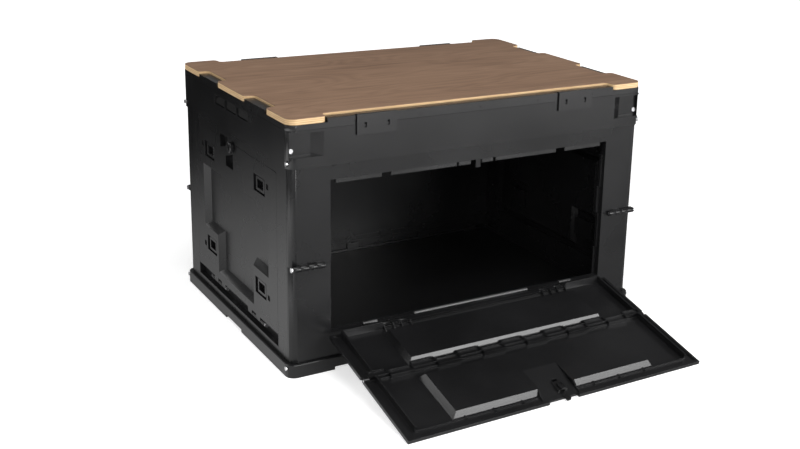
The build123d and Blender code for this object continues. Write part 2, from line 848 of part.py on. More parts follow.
# Turn latch of the side door: a knob outside, a shaft through the door, a tongue inside
knob_face_x = side_outer_x - seat_gap
latch_tongue_x = -end_inner_x + seat_gap
with BuildPart() as left_side_latch:
    with BuildSketch(Plane.YZ.offset(knob_face_x)) as knob:
        with Locations((0, knob_height)):
            Circle(knob_radius)
    extrude(knob.sketch, amount=-knob_reach)
    chamfer(left_side_latch.faces().sort_by(Axis.X)[0].edges(), length=1.2)
    with BuildSketch(Plane.YZ.offset(knob_face_x - knob_reach)) as knob_hollow:
        with Locations((0, knob_height)):
            Circle(knob_radius - knob_rim)
            Rectangle(knob_bar, 2 * knob_radius, mode=Mode.SUBTRACT)
    extrude(knob_hollow.sketch, amount=knob_hollow_depth, mode=Mode.SUBTRACT)
    with BuildSketch(Plane.YZ.offset(knob_face_x - 1)) as shaft:
        with Locations((0, knob_height)):
            Circle(knob_shaft_radius)
    extrude(shaft.sketch, amount=latch_tongue_x - knob_face_x + 1.5)
    block(
        (latch_tongue_x, latch_tongue_x + latch_tongue_thickness),
        (-latch_tongue_half_width, latch_tongue_length),
        (knob_height - latch_tongue_half_width, knob_height + latch_tongue_half_width),
    )
left_side_latch.part.label = "left_side_latch"

# The right end is the left one mirrored
with BuildPart() as right_end_wall:
    mirror(left_end_wall.part, about=Plane.YZ)
right_end_wall.part.label = "right_end_wall"

with BuildPart() as right_side_door:
    mirror(left_side_door.part, about=Plane.YZ)
right_side_door.part.label = "right_side_door"

with BuildPart() as right_door_pins:
    mirror(left_door_pins.part, about=Plane.YZ)
right_door_pins.part.label = "right_door_pins"

with BuildPart() as right_window_rings:
    mirror(left_window_rings.part, about=Plane.YZ)
right_window_rings.part.label = "right_window_rings"

with BuildPart() as right_side_latch:
    mirror(left_side_latch.part, about=Plane.YZ)
right_side_latch.part.label = "right_side_latch"

# The front door lies open with its far edge on the ground
door_slope = asin(door_hinge_height / (door_length**2 + door_lip_outer**2) ** 0.5)
door_slope -= atan(door_lip_outer / door_length)
door_plane = Plane(
    origin=(0, -axis_y, door_hinge_height),
    x_dir=(1, 0, 0),
    z_dir=(0, -sin(door_slope), cos(door_slope)),
)
door_fold = fold_height - door_hinge_height
door_edge_gap = knuckle_radius + 0.6
pan_top = door_floor + pan_height


def door_block(x, d, w, mode=Mode.ADD):
    """A box in the door's own frame: d runs from the hinge to the far edge, w is up."""
    with BuildSketch(door_plane.offset(w[0])) as face:
        with Locations(((x[0] + x[1]) / 2, -(d[0] + d[1]) / 2)):
            Rectangle(abs(x[1] - x[0]), abs(d[1] - d[0]))
    extrude(face.sketch, amount=w[1] - w[0], mode=mode)


def door_prism(x, profile, mode=Mode.ADD):
    """A profile of d and w in the door's own frame, drawn out along X."""
    side_plane = Plane(
        origin=(x[1], -axis_y, door_hinge_height),
        x_dir=(0, -cos(door_slope), -sin(door_slope)),
        z_dir=(-1, 0, 0),
    )
    with BuildSketch(side_plane) as face:
        with BuildLine():
            Polyline(*profile, close=True)
        make_face()
    extrude(face.sketch, amount=x[1] - x[0], mode=mode)


def door_rod(x, d, w, radius, mode=Mode.ADD):
    """A round bar along X in the door's own frame."""
    centre = door_plane.from_local_coords(Vector(0, -d, w))
    rod_x(x, centre.Y, centre.Z, radius, mode)


def door_pan(half_width, d, low, high, mode=Mode.ADD):
    """A raised field with sloped sides between two levels of the door."""
    with BuildSketch(door_plane.offset(low)) as foot:
        with Locations((0, -(d[0] + d[1]) / 2)):
            Rectangle(2 * half_width, d[1] - d[0])
    with BuildSketch(door_plane.offset(high)) as crown:
        with Locations((0, -(d[0] + d[1]) / 2)):
            Rectangle(2 * half_width - 2 * pan_run, d[1] - d[0] - 2 * pan_run)
    loft([foot.sketch, crown.sketch], ruled=True, mode=mode)


def door_half(edges, floor, ribs, pan):
    """Skin, outer bead, side ribs and raised field of one half of the door."""
    skin_w = (-door_lip_outer, door_lip_inner)
    door_block((-door_half_width, door_half_width), edges, skin_w)
    floor_x = door_half_width - door_bead
    door_block((-floor_x, floor_x), floor, (door_floor, door_lip_inner + 1), Mode.SUBTRACT)
    for side in (-1, 1):
        rib_x = spread(side, door_rib_x - door_rib_width, door_rib_x)
        door_block(rib_x, ribs, (0, door_rib_top))
    door_pan(pan_half_width, pan, door_floor - 0.5, pan_top)
    inside = (pan[0] + skin, pan[1] - skin)
    under = -door_lip_outer - 0.01
    door_pan(pan_half_width - skin, inside, under, pan_top - skin, Mode.SUBTRACT)


def fold_knuckle(index, direction):
    """One fold knuckle under its hollow box, on the half on the side given by direction."""
    span = knuckle_span(2 - door_half_width, door_half_width - 2, fold_knuckles, index)
    door_rod(span, door_fold, 0, knuckle_radius)
    reach = sorted((door_fold, door_fold + direction * (door_edge_gap + 1)))
    door_block(span, reach, (0, door_lip_inner))
    tab_x = (max(span[0], -fold_tab_limit), min(span[1], fold_tab_limit))
    tab_ends = (-direction * fold_tab_overhang, direction * fold_tab_reach)
    tab_d = sorted(door_fold + end for end in tab_ends)
    door_block(tab_x, tab_d, (0, fold_tab_top))
    door_block(
        (tab_x[0] + fold_tab_wall, tab_x[1] - fold_tab_wall),
        (tab_d[0] + fold_tab_wall, tab_d[1] - fold_tab_wall),
        (fold_tab_top - fold_tab_depth, fold_tab_top + 1), Mode.SUBTRACT,
    )


fold_bore_x = (-door_half_width, door_half_width)

# Near half of the front door
with BuildPart() as door_lower_panel:
    near_half_end = door_fold - door_edge_gap
    near_floor = (door_near_edge + door_near_lip, near_half_end - door_fold_lip)
    door_half(
        (door_near_edge, near_half_end), near_floor, (edge_slope_back, near_half_end), near_pan
    )
    # Sloped face inside the near edge, between each corner and its hinge group
    barrel_outer = hinge_group_outer + hinge_end_barrel
    for side in (-1, 1):
        door_prism(
            spread(side, hinge_group_outer + 2, door_rib_x - 1),
            [
                (edge_slope_back, 0), (edge_slope_back, door_rib_top),
                (edge_slope_crown, door_rib_top), (edge_slope_foot, 0),
            ],
        )
    # Two low ledges in front of the long barrel
    ledge_x = (-hinge_group_outer - 1, hinge_group_outer + 1)
    ledge_start = door_near_edge + 0.6
    ledge_end = door_near_edge + door_near_lip
    door_block(ledge_x, (ledge_start, ledge_end), (0, ledge_top))
    second_ledge = (ledge_end + ledge_gap, ledge_end + 2 * ledge_gap)
    door_block(ledge_x, second_ledge, (0, door_lip_inner + 0.6))
    # Long barrel between the hinge groups and short barrels outside them
    barrels = [(-hinge_group_inner, hinge_group_inner)]
    for side in (-1, 1):
        barrels.append(spread(side, hinge_group_outer + 1, barrel_outer))
        for index in (0, 2):
            barrels.append(hinge_span(side, index))
        # Ribs beside the knuckles of the wall
        for index in (1, 3):
            low, high = hinge_span(side, index)
            for rib_x in ((low - hinge_rib_width, low), (high, high + hinge_rib_width)):
                door_prism(
                    rib_x,
                    [
                        (door_near_edge, 0), (door_near_edge, hinge_rib_top),
                        (edge_slope_crown, hinge_rib_top), (hinge_rib_end, door_floor),
                        (hinge_rib_end, 0),
                    ],
                )
    for span in barrels:
        rod_x(span, -axis_y, door_hinge_height, knuckle_radius)
        door_block(span, (0, door_near_edge + 1), (0, door_lip_inner))
    bore_x = (-hinge_group_outer - 2, hinge_group_outer + 2)
    rod_x(bore_x, -axis_y, door_hinge_height, bore_radius, Mode.SUBTRACT)
    for index in range(0, fold_knuckles, 2):
        fold_knuckle(index, -1)
    door_rod(fold_bore_x, door_fold, 0, bore_radius, Mode.SUBTRACT)
door_lower_panel.part.label = "door_lower_panel"

# Far half of the front door
with BuildPart() as door_upper_panel:
    far_half_start = door_fold + door_edge_gap
    far_floor = (far_half_start + door_fold_lip, door_length - door_far_lip)
    door_half(
        (far_half_start, door_length), far_floor, (far_half_start, door_rib_end), far_pan
    )
    # Low rib and ticks between the raised field and the far edge
    ramp_outer_x = (ramp_x[0] - ramp_wall, ramp_x[1] + ramp_wall)
    for rib_x in ((1 - door_rib_x, ramp_outer_x[0]), (ramp_outer_x[1], door_rib_x - 1)):
        door_block(rib_x, far_rib, (0, door_lip_inner))
    with BuildSketch(door_plane) as ticks:
        for place in far_ticks:
            with Locations((-place, -far_pan[1] - 2), (place, -far_pan[1] - 2)):
                Rectangle(hinge_rib_width, 8)
    extrude(ticks.sketch, amount=door_lip_inner)
    # Ramp down to the far edge, between two walls
    pan_crown_end = far_pan[1] - pan_run
    ramp_hollow_start = far_pan[0] + pan_run + skin
    door_block(
        ramp_outer_x, (ramp_hollow_start - 1, pan_crown_end), (-door_lip_outer, pan_top - 1)
    )
    door_prism(
        ramp_outer_x,
        [
            (pan_crown_end - 1, 0), (pan_crown_end - 1, pan_top), (pan_crown_end, pan_top),
            (ramp_shoulder, door_lip_inner), (ramp_end, ramp_end_level), (ramp_end, 0),
        ],
    )
    door_prism(
        ramp_x,
        [
            (ramp_start, pan_top), (ramp_end, ramp_end_level),
            (ramp_end, pan_top + 2), (ramp_start, pan_top + 2),
        ],
        Mode.SUBTRACT,
    )
    ramp_fall = (pan_top - ramp_end_level) / (ramp_end - ramp_start)
    hollow_end = bolt_start - 5
    hollow_end_level = pan_top - skin - ramp_fall * (hollow_end - ramp_start)
    door_prism(
        ramp_x,
        [
            (ramp_hollow_start, -door_lip_outer - 1), (ramp_hollow_start, pan_top - skin),
            (ramp_start, pan_top - skin), (hollow_end, hollow_end_level),
            (hollow_end, -door_lip_outer - 1),
        ],
        Mode.SUBTRACT,
    )
    # Cut-out of the edge, and the slot, cheeks and bridge that guide the bolt
    door_block(
        edge_cut_x, (ramp_end, door_length + 1), (-door_lip_outer - 1, door_lip_inner + 1),
        Mode.SUBTRACT,
    )
    slot_half_width = bolt_half_width + seat_gap
    cheek_outer = slot_half_width + bolt_cheek
    cheek_x = (bolt_x - cheek_outer, bolt_x + cheek_outer)
    door_block(cheek_x, bolt_cheek_span, (0, bolt_cheek_top))
    slot_x = (bolt_x - slot_half_width, bolt_x + slot_half_width)
    door_block(slot_x, (bolt_start - 1, ramp_end + 1), (door_floor, pan_top + 2), Mode.SUBTRACT)
    bridge_level = bolt_tail_top + seat_gap
    door_block(cheek_x, bolt_bridge_span, (bridge_level, bolt_cheek_top))
    for index in range(1, fold_knuckles, 2):
        fold_knuckle(index, 1)
    door_rod(fold_bore_x, door_fold, 0, bore_radius, Mode.SUBTRACT)
door_upper_panel.part.label = "door_upper_panel"

with BuildPart() as door_hinge_pins:
    for side in (-1, 1):
        span = spread(side, hinge_group_inner - 6, hinge_group_outer + 1.5)
        rod_x(span, -axis_y, door_hinge_height, pin_radius)
door_hinge_pins.part.label = "door_hinge_pins"

with BuildPart() as door_fold_pin:
    pin_end = door_half_width - 2.5
    door_rod((-pin_end, pin_end), door_fold, 0, pin_radius)
door_fold_pin.part.label = "door_fold_pin"

# Bolt: a strap with a nose that goes behind the header and a ridge for the thumb
with BuildPart() as door_bolt:
    strap_level = door_floor + seat_gap
    bolt_span = (bolt_x - bolt_half_width, bolt_x + bolt_half_width)
    with BuildSketch(door_plane.offset(strap_level)) as strap:
        with Locations((bolt_x, -(bolt_start + bolt_end) / 2)):
            RectangleRounded(2 * bolt_half_width, bolt_end - bolt_start, bolt_half_width / 2)
    extrude(strap.sketch, amount=bolt_strap)
    door_block(bolt_span, (bolt_start + 2, bolt_tail_end), (strap_level, bolt_tail_top))
    door_block(bolt_span, bolt_block, (strap_level, bolt_nose_top))
    door_block(bolt_span, (bolt_block[0], bolt_nose_end), (bolt_nose_level, bolt_nose_top))
    ridge_x = (bolt_span[0] + 1, bolt_span[1] - 1)
    door_block(ridge_x, bolt_ridge, (bolt_ridge_level, strap_level + 0.5))
door_bolt.part.label = "door_bolt"


def lug(x, y, z):
    """One lug with its inner corners rounded."""
    with BuildSketch(Plane.XY.offset(z[0])) as face:
        with Locations(((x[0] + x[1]) / 2, (y[0] + y[1]) / 2)):
            Rectangle(abs(x[1] - x[0]), abs(y[1] - y[0]))
        inner = [
            corner for corner in face.vertices()
            if abs(corner.X) < half_length - 1 and abs(corner.Y) < half_depth - 1
        ]
        fillet(inner, radius=lug_radius)
    extrude(face.sketch, amount=z[1] - z[0])


def lugs(z):
    """What fills the notches of the board, smaller than them on each side."""
    for side in (-1, 1):
        for end in (-1, 1):
            span_y = spread(side, end_notch_near + lug_gap, end_notch_far - lug_gap)
            reach = spread(end, half_length - end_notch_depth + lug_gap, half_length)
            lug(reach, span_y, z)
        reach = spread(side, half_depth - long_notch_depth + lug_gap, half_depth)
        lug((lug_gap - long_notch_half_width, long_notch_half_width - lug_gap), reach, z)


# Lid panel
clip_axis_y = half_depth - clip_axis_inset
lid_rim_x = shelf_x - 1.5
lid_rim_y = shelf_y - 1.5
with BuildPart() as lid_panel:
    slab(box_length, box_depth, frame_corner_radius, (lid_bottom, lid_top))
    slab(
        box_length - 2 * frame_wall, box_depth - 2 * frame_wall,
        frame_corner_radius - frame_wall, (lid_bottom - 1, lid_top - lid_roof), Mode.SUBTRACT,
    )
    lid_rim_z = (lid_bottom - lid_rim_drop, lid_top - 2)
    rim(2 * lid_rim_x, 2 * lid_rim_y, frame_corner_radius - 4, skin, lid_rim_z)
    lugs((lid_top - 1, lid_top + lug_height))
    for side in (-1, 1):
        for end in (-1, 1):
            pocket_x = spread(end, clip_near - seat_gap, clip_far + seat_gap)
            pocket_y = spread(side, clip_axis_y - clip_pocket_depth, half_depth + 1)
            pocket_z = (lid_top - side_gap, lid_top + lug_height + 1)
            block(pocket_x, pocket_y, pocket_z, Mode.SUBTRACT)
            pocket_y = spread(side, clip_axis_y + clip_side_gap, half_depth + 1)
            block(pocket_x, pocket_y, (lid_bottom - 1, lid_top + 1), Mode.SUBTRACT)
            pin_x = spread(end, clip_near - clip_pin_reach, clip_far + clip_pin_reach)
            clip_bore = clip_pin_radius + pin_clearance
            rod_x(pin_x, side * clip_axis_y, clip_axis_height, clip_bore, Mode.SUBTRACT)
    # Ribs under the lid
    with BuildSketch(Plane.XY.offset(lid_bottom - lid_rib_drop)) as lid_ribs:
        with GridLocations(lid_rib_pitch_x, 1, 9, 1):
            Rectangle(lid_rib, 2 * lid_rim_y - 2)
        with GridLocations(1, lid_rib_pitch_y, 1, 5):
            Rectangle(2 * lid_rim_x - 2, lid_rib)
    extrude(lid_ribs.sketch, amount=lid_height + lid_rib_drop - 2)
lid_panel.part.label = "lid_panel"


def board_plan(z):
    """The outline of the board with its notches."""
    with BuildSketch(Plane.XY.offset(z)) as face:
        RectangleRounded(box_length, box_depth, frame_corner_radius + 2)
        for side in (-1, 1):
            for end in (-1, 1):
                middle_y = side * (end_notch_near + end_notch_far) / 2
                with Locations((end * half_length, middle_y)):
                    Rectangle(
                        2 * end_notch_depth, end_notch_far - end_notch_near, mode=Mode.SUBTRACT
                    )
            with Locations((0, side * half_depth)):
                Rectangle(2 * long_notch_half_width, 2 * long_notch_depth, mode=Mode.SUBTRACT)
        corners = [
            corner for corner in face.vertices()
            if abs(corner.X) < half_length - 21 or abs(corner.Y) < half_depth - 21
        ]
        fillet(corners, radius=notch_radius)
    return face.sketch


with BuildPart() as lid_board:
    extrude(board_plan(board_bottom), amount=board_thickness)
lid_board.part.label = "lid_board"

with BuildPart() as board_veneer:
    extrude(board_plan(veneer_bottom), amount=veneer_thickness)
board_veneer.part.label = "board_veneer"


def clip(end, side):
    """A snap clip: a barrel round its pin and a plate that hangs over the side of the frame."""
    span = spread(end, clip_near, clip_far)
    outer_y = half_depth + seat_gap + clip_thickness
    rod_x(span, side * clip_axis_y, clip_axis_height, clip_barrel_radius)
    block(
        span, spread(side, clip_axis_y, outer_y),
        (clip_axis_height - 0.5, clip_axis_height + clip_barrel_radius),
    )
    block(
        span, spread(side, half_depth + seat_gap, outer_y), (clip_bottom, clip_axis_height)
    )
    for centre in clip_slot_places(end):
        block(
            (centre - clip_slot_half_width, centre + clip_slot_half_width),
            spread(side, half_depth, outer_y + 1),
            (clip_slot_low, clip_slot_high), Mode.SUBTRACT,
        )
    rod_x(
        (span[0] - 1, span[1] + 1), side * clip_axis_y, clip_axis_height,
        clip_pin_radius + pin_clearance, Mode.SUBTRACT,
    )


with BuildPart() as front_clip_left:
    clip(-1, -1)
front_clip_left.part.label = "front_clip_left"

with BuildPart() as front_clip_right:
    clip(1, -1)
front_clip_right.part.label = "front_clip_right"

with BuildPart() as rear_clip_left:
    clip(-1, 1)
rear_clip_left.part.label = "rear_clip_left"

with BuildPart() as rear_clip_right:
    clip(1, 1)
rear_clip_right.part.label = "rear_clip_right"

with BuildPart() as clip_pins:
    for side in (-1, 1):
        for end in (-1, 1):
            span = spread(end, clip_near - clip_pin_reach, clip_far + clip_pin_reach)
            rod_x(span, side * clip_axis_y, clip_axis_height, clip_pin_radius)
clip_pins.part.label = "clip_pins"

pieces = [
    base_tray, rear_wall_lower, rear_wall_upper, front_wall_lower, front_wall_upper,
    wall_fold_pins, base_hinge_pins, frame_hinge_pins, top_frame, end_pivot_pins,
    left_end_wall, right_end_wall, left_side_door, right_side_door, left_door_pins,
    right_door_pins, left_window_rings, right_window_rings, left_side_latch, right_side_latch,
    door_lower_panel, door_upper_panel, door_hinge_pins, door_fold_pin, door_bolt,
    lid_panel, lid_board, board_veneer, front_clip_left, front_clip_right,
    rear_clip_left, rear_clip_right, clip_pins,
]
for piece in pieces:
    export_step(piece.part, "parts/" + piece.part.label + ".step")
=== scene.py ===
"""Looks of the folding storage box: materials, edges, trims, floor, light and camera round its model."""

import math

import bmesh
import bpy
from mathutils import Matrix, Vector


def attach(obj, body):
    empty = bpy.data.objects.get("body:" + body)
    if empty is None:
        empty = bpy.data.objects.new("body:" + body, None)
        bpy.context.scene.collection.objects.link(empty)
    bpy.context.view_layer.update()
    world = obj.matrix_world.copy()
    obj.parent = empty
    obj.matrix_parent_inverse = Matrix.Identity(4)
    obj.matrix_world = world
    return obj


MM = 0.001

# Camera: the picture's size, lens and optical centre in pixels, its place in metres and its turn in degrees
IMAGE_WIDTH = 800
IMAGE_HEIGHT = 449
SENSOR_WIDTH = 36.0
FOCAL_PIXELS = 1161.6
CENTRE_PIXEL = (459.7, 162.5)
CAMERA_PLACE = (-0.8880, -1.5806, 0.7418)
CAMERA_AZIMUTH = 31.96
CAMERA_ELEVATION = 15.93
CAMERA_ROLL = 1.76
CLIP_START = 0.05
CLIP_END = 30.0

# Plastic: its colours, how far colour and sheen wander and over which patches, and the fine grain
BLACK = (0.0100, 0.0100, 0.0105)
TRIM_BLACK = (0.0080, 0.0080, 0.0085)
# The beads' black, twice the body's, is painted highlight: the same black plastic made lighter so the beads
# read bright
BEAD_PAINTED_HIGHLIGHT_BLACK = (0.0200, 0.0200, 0.0205)
TINT_SPREAD = 0.2
TINT_RANGE = (0.35, 0.65)
SHEEN_SPREAD = 0.03
SHEEN_RANGE = (0.3, 0.7)
PATCH_SCALE = 7.0
PATCH_DETAIL = 4.0
GRAIN_DETAIL = 2.0
GRAIN_STRENGTH = 0.3

# Plastics by role: name, colour, roughness, gloss, waves of the grain to the metre and its depth in mm
PLASTICS = {
    "body": ("body_plastic", BLACK, 0.25, 0.42, 900.0, 0.05),
    "wall": ("wall_plastic", BLACK, 0.27, 0.36, 900.0, 0.05),
    "door": ("door_plastic", BLACK, 0.24, 0.45, 900.0, 0.05),
    "tray": ("tray_plastic", BLACK, 0.30, 0.40, 800.0, 0.06),
    "lid": ("lid_plastic", BLACK, 0.25, 0.50, 900.0, 0.04),
    "trim": ("trim_plastic", TRIM_BLACK, 0.26, 0.45, 900.0, 0.04),
    # the bead: its lighter black is painted highlight, while its roughness and gloss are its finish
    "bead": ("bead_plastic_painted_highlight", BEAD_PAINTED_HIGHLIGHT_BLACK, 0.40, 1.00, 900.0, 0.04),
}

# Steel of the pins: waves of its streaks to the metre, and its colours from dark to light
STEEL_SCALE = 260.0
STEEL_DETAIL = 2.0
STEEL_ROUGHNESS = 0.3
STEEL_STOPS = [(0.3, (0.70, 0.70, 0.71)), (0.7, (0.86, 0.86, 0.87))]

# Wood: how rough its noises are, and the strength and depth in mm of its fibres
NOISE_ROUGHNESS = 0.55
FIBRE_STRENGTH = 0.2
FIBRE_DEPTH = 0.1

# Walnut: for each noise its waves to the metre along X, Y and Z, its detail and its distortion
WALNUT_RINGS = ((2.2, 9.0, 9.0), 1.5, 0.25)
WALNUT_FIBRES = ((10.0, 300.0, 60.0), 6.0, 0.15)
WALNUT_STREAKS = ((3.0, 60.0, 20.0), 3.0, 0.6)
WALNUT_CLOUDS = ((2.5, 6.0, 6.0), 2.0, 0.3)
RING_COUNT = 44.0
STREAK_WEIGHT = 0.45
RING_WEIGHT = 0.12
CLOUD_WEIGHT = 0.3
WALNUT_ROUGHNESS = 0.5
WALNUT_GLOSS = 0.35
WALNUT_STOPS = [
    (0.34, (0.165, 0.094, 0.055)),
    (0.50, (0.255, 0.152, 0.094)),
    (0.64, (0.325, 0.202, 0.128)),
]

# Plywood: thickness of one ply in mm, its fibres as in the walnut, and the colours from dark to light
PLY_THICKNESS = 1.3
PLY_WEIGHT = 0.35
PLY_FIBRES = ((40.0, 40.0, 600.0), 4.0, 0.2)
PLYWOOD_ROUGHNESS = 0.6
PLYWOOD_GLOSS = 0.3
PLYWOOD_STOPS = [
    (0.25, (0.50, 0.32, 0.16)),
    (0.50, (0.66, 0.45, 0.24)),
    (0.75, (0.76, 0.55, 0.32)),
]

# Role of each node, where it isn't a pin or plain wall plastic
ROLE_OF_NODE = {
    "base_tray": "tray",
    "lid_panel": "lid",
    "lid_board": "edge",
    "board_veneer": "top",
    "front_clip_left": "lid",
    "front_clip_right": "lid",
    "rear_clip_left": "lid",
    "rear_clip_right": "lid",
    "door_bolt": "trim",
    "left_side_latch": "trim",
    "right_side_latch": "trim",
    "left_window_rings": "trim",
    "right_window_rings": "trim",
    "top_frame": "body",
    "door_lower_panel": "door",
    "door_upper_panel": "door",
}

# Edges, in mm and degrees: what is joined, which faces are made whole, and how wide edges are rounded
WELD_REACH = 0.01
FLAT_ANGLE = 0.6
SHARP_ANGLE = 35.0
EDGE_SEGMENTS = 2
EDGE_WIDTH = {
    "lid_board": 0.6,
    "board_veneer": 0.25,
    "left_window_rings": 0.4,
    "right_window_rings": 0.4,
}
DEFAULT_EDGE_WIDTH = 0.6
TRIM_EDGE_WIDTH = 0.3

# Beads on the sill of the opening, in mm
SILL_HEIGHT = 57.0
BEAD_MIDDLE = -204.0
BEAD_RADIUS = 2.9
BEAD_SINK = 0.3
BEAD_STEPS = 10
BEAD_SPANS = ((-101, 101), (-185, -162), (162, 185))

# Faces of the header strips, in mm: each leans out from its top to a nose, and turns back to its foot
STRIP_SPANS = ((-225, -155), (-139, -32), (-27.5, -7.5), (12.5, 31.5), (37, 146), (164, 232))
STRIP_BACK = -199.3
STRIP_TOP = 280.8
STRIP_FOOT = 272.1
STRIP_TOP_PROUD = 0.2
STRIP_NOSE_PROUD = 0.6
STRIP_NOSE_HEIGHT = 0.9
STRIP_CHIN_PROUD = 0.3
STRIP_CHIN_HEIGHT = 0.2

# Tabs and lip at the foot of the rear wall's inner face, in mm
REAR_FACE = 197.0
FOOT_SINK = 0.2
FOOT_CHAMFER = 0.8
TAB_MIDDLES = (-146, -2, 144)
TAB_HALF_WIDTH = 11.5
TAB_PROUD = 2.4
TAB_TOP = 22.0
TAB_FOOT = 10.0
LIP_HALF_LENGTH = 236.0
LIP_PROUD = 2.2
LIP_TOP = 11.0
LIP_FOOT = 6.6

# Domed dots on the rails of the lid, in mm, and the radius of each ring of a dome as a share
LID_FACE = 210.0
DOT_PLACES = (-202, -101, 0, 101, 202)
DOT_LEVEL = 360.3
DOT_RADIUS = 1.3
DOT_HEIGHT = 0.35
DOT_SIDES = 12
DOT_RINGS = (1.0, 0.7, 0.35)

# Floor: half its side in metres, how far it lies under the box in mm, and its finish
FLOOR_REACH = 30.0
FLOOR_DROP = 0.4
FLOOR_GREY = 0.8
FLOOR_ROUGHNESS = 0.9

# Glow of the floor to the camera: from FLOOR_GLOW to 1 between these distances from the box, in metres
FLOOR_GLOW = 0.62
GLOW_FROM = 0.8
GLOW_TO = 2.0

# Floor in reflections, painted: a pale sheet painted to darken outwards (painted shade), and a painted pool
# of light at the front left that glows only where the box mirrors it
PAINTED_REFLECTION_GREY = 0.43
PAINTED_FADE_MIDDLE = (0.3, -1.2)
PAINTED_FADE_REACH = 3.0
PAINTED_FADE_STOPS = [(0.0, 1.0), (0.50, 0.85), (0.617, 0.50), (0.68, 0.30), (0.743, 0.12), (0.87, 0.02)]
PAINTED_POOL_GLOW = 2.5
PAINTED_POOL_MIDDLE = (-1.2, -0.35)
PAINTED_POOL_REACH = 2.0
PAINTED_POOL_STOPS = [(0.0, 1.0), (0.20, 0.80), (0.35, 0.38), (0.50, 0.14), (0.60, 0.07), (0.75, 0.0)]

# Surround: how bright it is from the horizon upwards, by the sine of the elevation
SKY_STOPS = [(0.0, 1.0), (0.10, 0.6), (0.22, 0.10), (1.0, 0.10)]

# Lamps, aimed at the middle of the box: place, width and height in metres, and power in watts
LAMPS = {
    "lamp_top": ((0.0, -1.1, 2.3), (1.8, 1.8), 40),
    "lamp_left": ((-1.9, 1.1, 1.15), (1.0, 1.0), 12),
    "lamp_front": ((1.2, -2.4, 0.58), (1.6, 0.9), 48),
    "lamp_near": ((-1.5, -2.2, 1.3), (1.2, 1.2), 18),
}
AIM = (0, 0, 0.15)

# Places of the sockets of a mix node, for grey values and for colours
MIX_SHARE = 0
GREY_FIRST = 2
GREY_SECOND = 3
GREY_RESULT = 0
COLOUR_FIRST = 6
COLOUR_SECOND = 7
COLOUR_RESULT = 2

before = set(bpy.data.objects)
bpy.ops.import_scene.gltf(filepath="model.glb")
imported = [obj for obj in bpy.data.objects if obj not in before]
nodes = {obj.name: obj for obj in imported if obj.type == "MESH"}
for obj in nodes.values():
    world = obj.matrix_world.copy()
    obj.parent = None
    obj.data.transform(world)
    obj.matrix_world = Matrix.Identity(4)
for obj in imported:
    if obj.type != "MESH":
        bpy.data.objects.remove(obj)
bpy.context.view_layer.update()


def add_camera():
    """The camera at the viewing angle of the photograph."""
    azimuth = math.radians(CAMERA_AZIMUTH)
    elevation = math.radians(CAMERA_ELEVATION)
    roll = math.radians(CAMERA_ROLL)
    forward = Vector((
        math.sin(azimuth) * math.cos(elevation),
        math.cos(azimuth) * math.cos(elevation),
        -math.sin(elevation),
    ))
    level_right = Vector((math.cos(azimuth), -math.sin(azimuth), 0))
    level_up = level_right.cross(forward)
    right = level_right * math.cos(roll) + level_up * math.sin(roll)
    up = level_up * math.cos(roll) - level_right * math.sin(roll)
    data = bpy.data.cameras.new("camera")
    data.sensor_width = SENSOR_WIDTH
    data.lens = FOCAL_PIXELS * SENSOR_WIDTH / IMAGE_WIDTH
    data.shift_x = (IMAGE_WIDTH / 2 - CENTRE_PIXEL[0]) / IMAGE_WIDTH
    data.shift_y = (CENTRE_PIXEL[1] - IMAGE_HEIGHT / 2) / IMAGE_WIDTH
    data.clip_start = CLIP_START
    data.clip_end = CLIP_END
    camera = bpy.data.objects.new("camera", data)
    bpy.context.scene.collection.objects.link(camera)
    turn = Matrix((right, up, -forward)).transposed().to_4x4()
    camera.matrix_world = Matrix.Translation(CAMERA_PLACE) @ turn
    bpy.context.scene.camera = camera


def node_helpers(tree):
    """Two helpers for a node tree: one adds a node with its values, the other links two sockets."""
    def add(kind, **values):
        node = tree.nodes.new(kind)
        for key, value in values.items():
            if key in node.inputs:
                node.inputs[key].default_value = value
            else:
                setattr(node, key, value)
        return node

    return add, tree.links.new


def new_material(name):
    """A material, its shader and the helpers of its node tree."""
    material = bpy.data.materials.new(name)
    material.use_nodes = True
    add, link = node_helpers(material.node_tree)
    return material, material.node_tree.nodes["Principled BSDF"], add, link


def ramp(add, stops):
    """A colour ramp from (place, grey or colour) stops."""
    node = add("ShaderNodeValToRGB")
    elements = node.color_ramp.elements
    while len(elements) < len(stops):
        elements.new(0.5)
    for element, (place, colour) in zip(elements, stops):
        element.position = place
        element.color = (*colour, 1) if isinstance(colour, tuple) else (colour, colour, colour, 1)
    return node


def emboss(add, link, height, shader, strength, depth):
    """Raises a grey value as a fine relief, with its depth in mm."""
    bump = add("ShaderNodeBump", Strength=strength, Distance=depth * MM)
    link(height, bump.inputs["Height"])
    link(bump.outputs["Normal"], shader.inputs["Normal"])


def stretched_noise(add, link, place, stretch, detail, distortion):
    """Noise with its own number of waves to the metre along each axis."""
    mapping = add("ShaderNodeMapping", Scale=stretch)
    link(place.outputs["Object"], mapping.inputs["Vector"])
    noise = add(
        "ShaderNodeTexNoise", Scale=1.0, Detail=detail, Roughness=NOISE_ROUGHNESS, Distortion=distortion
    )
    link(mapping.outputs["Vector"], noise.inputs["Vector"])
    return noise.outputs["Fac"]


def weigh(add, link, first, second, weight):
    """Mixes two grey values."""
    mix = add("ShaderNodeMix", data_type="FLOAT")
    mix.inputs[MIX_SHARE].default_value = weight
    link(first, mix.inputs[GREY_FIRST])
    link(second, mix.inputs[GREY_SECOND])
    return mix.outputs[GREY_RESULT]


